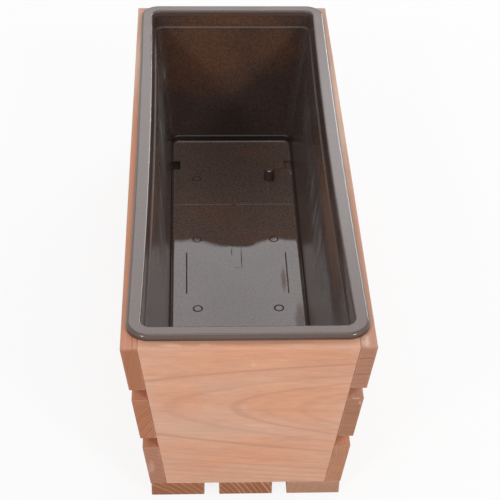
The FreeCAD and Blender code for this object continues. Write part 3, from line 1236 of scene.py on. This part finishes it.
@dataclass
class SideSlats:
    """The six leaning slats of the two long sides."""

    thickness: float = 15.0 * MM
    lean: float = 7.53
    line: Colour = rgb(150, 100, 80)
    sides: dict = field(default_factory=lambda: {"left": -1.0, "right": 1.0})
    # The planed faces of the middle and bottom slats are painted lighter, to make up for the shade that the
    # slat above casts on their top faces.
    boards: dict = field(default_factory=lambda: {
        ("left", "top"): Board(
            # Its patch is painted sheen on the far half of the top face, not a chip.
            WoodFigure(pith=(150, 0, -20), lean=(0.0, 0.5, 0.4), spacing=6.5, rings=(Ring(158.8, 0.8, 0.7),),
                       chips_and_sheen=(Patch((-106, 200, 189), (14, 140, 6), 0.6, 0.4),)),
            rgb(165, 105, 72), rgb(142, 84, 54), 0.3, rgb(200, 143, 115), rgb(200, 137, 106)),
        ("left", "middle"): Board(
            WoodFigure(pith=(46, 0, -38), lean=(0.0, -0.8, 1.2), spacing=3.4, late=0.6,
                       shift=(310, 170, 230)),
            rgb(167, 104, 71), rgb(206, 148, 112), 0.9, rgb(205, 142, 110), rgb(202, 136, 100)),
        ("left", "bottom"): Board(
            WoodFigure(pith=(-20, 0, -62), lean=(0.0, 1.2, -0.6), spacing=4.6, shift=(620, 170, 460),
                       chips_and_sheen=(Patch((-88.4, -300, 38), (4.4, 2.5, 14), 0.22, 0.7),)),
            rgb(171, 119, 94), rgb(138, 90, 66), 0.6, rgb(200, 138, 108), rgb(198, 132, 98)),
        ("right", "top"): Board(
            # The second patch is painted sheen on the far half of the top face; the first is a chip at the
            # front end.
            WoodFigure(pith=(6, 0, -150), lean=(0.0, -0.5, 0.4), spacing=5.2, wander=4, shift=(0, 400, 100),
                       rings=(Ring(164.4, 0.75), Ring(145.2, 0.7)),
                       chips_and_sheen=(Patch((103, -290, 188.5), (5, 13, 3)),
                              Patch((106, 80, 189), (14, 200, 6), 0.45, 0.6))),
            rgb(172, 121, 95), rgb(114, 70, 50), 0.4, rgb(191, 148, 128), rgb(191, 140, 116)),
        ("right", "middle"): Board(
            WoodFigure(pith=(-10, 0, -150), lean=(0.0, 0.7, -0.9), spacing=5.4, wander=5,
                       shift=(310, 500, 200), rings=(Ring(152.8, 0.7),),
                       chips_and_sheen=(Patch((97, -300, 126.4), (5.5, 2, 1.2)),
                              Patch((101, -300, 121), (1.6, 2, 4), 0.4))),
            rgb(163, 111, 83), rgb(114, 72, 52), 0.4, rgb(206, 157, 131), rgb(208, 150, 121)),
        ("right", "bottom"): Board(
            WoodFigure(pith=(-120, 0, 26), lean=(0.0, -1.0, 0.7), spacing=3.8, late=0.5,
                       shift=(620, 600, 400)),
            rgb(174, 120, 90), rgb(204, 152, 120), 0.6, rgb(211, 150, 117), rgb(212, 144, 104)),
    })

    def dress(self) -> None:
        """Finish all the slats."""
        angle = math.radians(self.lean)
        for (side, height), board in self.boards.items():
            way = (self.sides[side] * math.cos(angle), 0.0, -math.sin(angle))
            board.dress(f"{side}_slat_{height}", Slot.SLAT, self.line, way, self.thickness)


@dataclass
class BaseBoards:
    """The three boards that the planter stands on."""

    line: Colour = rgb(146, 96, 75)
    boards: dict = field(default_factory=lambda: {
        "left": Board(
            WoodFigure(pith=(-84, 0, -98), lean=(0.4, 0.0, 0.8), spacing=5.4, wander=4, late=0.72,
                       shift=(0, 300, 0)),
            rgb(148, 91, 55), rgb(216, 164, 124), 1.3),
        "centre": Board(
            WoodFigure(pith=(-110, 0, -66), lean=(0.4, 0.0, 0.3), spacing=4.8, wander=4, late=0.72,
                       shift=(200, 300, 100)),
            rgb(146, 89, 54), rgb(236, 188, 146), 1.6),
        "right": Board(
            WoodFigure(pith=(-128, 0, 30), lean=(0.4, 0.0, -0.2), spacing=7, wander=4,
                       shift=(400, 300, 200), rings=(Ring(117, 0.6, 0.6),)),
            rgb(176, 133, 107), rgb(144, 100, 78), 0.35),
    })

    def dress(self) -> None:
        """Finish the boards."""
        for name, board in self.boards.items():
            board.dress(f"base_board_{name}", Slot.BASE, self.line, (1.0, 0.0, 0.0))


@dataclass
class Liner:
    """The lift-out liner and the plug in its drain."""

    liner_node: str = "liner"
    plug_node: str = "drain_plug"

    def dress(self) -> None:
        """Finish the liner and the plug."""
        dress(self.liner_node, MouldedLiner().make("liner_brown"))
        dress(self.plug_node, MouldedPlug().make("plug_dark"))


@dataclass
class Screws:
    """The screws of the sides and the base."""

    nodes: tuple = ("left_side_screws", "right_side_screws", "base_screws")

    def dress(self) -> None:
        """Finish all the screws alike."""
        zinc = ZincSteel().make("screw_zinc")
        for node in self.nodes:
            dress(node, zinc)


@dataclass
class Lamp:
    """One soft lamp: its place, its width and height, its strength and colour, and what it points at."""

    name: str
    place: Point
    size: Span
    watts: float
    colour: Point = (1.0, 1.0, 1.0)
    aim: Point = mm(0, 0, 120)

    def build(self) -> None:
        """Hang the lamp."""
        bpy.ops.object.select_all(action="DESELECT")
        bpy.ops.object.light_add(type="AREA", location=self.place)
        lamp = bpy.context.object
        lamp.name = self.name
        lamp.data.shape = "RECTANGLE"
        lamp.data.size, lamp.data.size_y = self.size
        lamp.data.energy = self.watts
        lamp.data.color = self.colour
        way = Vector(self.aim) - Vector(self.place)
        lamp.rotation_euler = way.to_track_quat("-Z", "Y").to_euler()
        log.info("lamp %s", self.name)


@dataclass
class Studio:
    """Plain pale floor, soft light and the camera."""

    floor_size: float = 14.0
    floor_tone: Colour = (0.9, 0.9, 0.9, 1.0)
    floor_glow: float = 0.85
    sky: float = 0.42
    lens: float = 100.159
    sensor: float = 36.0
    eye: Point = mm(-47.43, -1184.4, 1012.78)
    right_way: Point = (0.99917, -0.03518, 0.02031)
    up_way: Point = (0.0063, 0.62808, 0.77813)
    lamps: tuple = (
        Lamp("back_window", (0.0, 2.15, 1.95), (2.3, 1.35), 18.5, (0.965, 0.99, 1.045)),
        Lamp("back_right", (1.5, 2.1, 1.0), (1.3, 0.5), 16.0),
        Lamp("overhead", (0.0, 0.1, 2.4), (1.0, 1.0), 6.5),
        Lamp("front_left", (-1.35, -1.9, 1.75), (0.4, 0.4), 17.6),
        Lamp("front_right", (1.35, -1.9, 1.75), (0.4, 0.4), 17.6),
    )

    def show(self, bench: NodeBench, lit: bpy.types.Node, seen: bpy.types.Node, share: float) -> Out:
        """Mix what lights the planter with what is seen: from the camera, from gloss or through glass.

        Args:
            bench: bench of the backdrop's tree.
            lit: shader for the rays that light the planter.
            seen: shader for the rays that see the backdrop.
            share: share of the second that shows.

        Returns:
            Output socket of the mixed shader.
        """
        path = bench.add("ShaderNodeLightPath").outputs
        rays = bench.plus(path["Is Camera Ray"], path["Is Glossy Ray"], path["Is Transmission Ray"])
        shown = bench.times(bench.math("MINIMUM", rays, 1.0), share)
        slots = {0: shown, 1: lit.outputs[0], 2: seen.outputs[0]}
        return bench.add("ShaderNodeMixShader", slots=slots).outputs[0]

    def build_world(self) -> None:
        """White surroundings that light the planter evenly."""
        world = bpy.data.worlds.new("studio")
        world.use_nodes = True
        world.node_tree.nodes.clear()
        bench = NodeBench(world.node_tree)
        light = bench.add("ShaderNodeBackground", Color=WHITE, Strength=self.sky)
        white = bench.add("ShaderNodeBackground", Color=WHITE, Strength=1.0)
        out = bench.add("ShaderNodeOutputWorld")
        bench.feed(out.inputs["Surface"], self.show(bench, light, white, 1.0))
        bpy.context.scene.world = world

    def build_floor(self) -> None:
        """White floor that keeps a faint shadow."""
        bpy.ops.object.select_all(action="DESELECT")
        bpy.ops.mesh.primitive_plane_add(size=self.floor_size)
        floor = bpy.context.object
        floor.name = "floor"
        material = bpy.data.materials.new("floor_white")
        material.use_nodes = True
        material.node_tree.nodes.clear()
        bench = NodeBench(material.node_tree)
        matt = bench.add("ShaderNodeBsdfDiffuse", Color=self.floor_tone)
        glow = bench.add("ShaderNodeEmission", Color=WHITE, Strength=1.0)
        out = bench.add("ShaderNodeOutputMaterial")
        bench.feed(out.inputs["Surface"], self.show(bench, matt, glow, self.floor_glow))
        floor.data.materials.append(material)

    def build_camera(self) -> None:
        """Camera at the photograph's place."""
        right, up = Vector(self.right_way).normalized(), Vector(self.up_way)
        back = right.cross(up).normalized()
        up = back.cross(right)
        turn = Matrix((right, up, back)).transposed().to_4x4()
        data = bpy.data.cameras.new("camera")
        data.sensor_width = self.sensor
        data.lens = self.lens
        camera = bpy.data.objects.new("camera", data)
        bpy.context.scene.collection.objects.link(camera)
        camera.matrix_world = Matrix.Translation(self.eye) @ turn
        bpy.context.scene.camera = camera

    def build(self) -> None:
        """Set up the whole studio."""
        self.build_world()
        self.build_floor()
        for lamp in self.lamps:
            lamp.build()
        self.build_camera()
        bpy.context.scene.view_settings.view_transform = "Standard"
        log.info("studio ready")


def main() -> None:
    """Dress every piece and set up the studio."""
    logging.basicConfig(level=logging.INFO, format="%(name)s: %(message)s")
    for part in (EndPanels(), SideSlats(), BaseBoards(), Liner(), Screws()):
        part.dress()
    Studio().build()


if __name__ == "__main__":
    main()
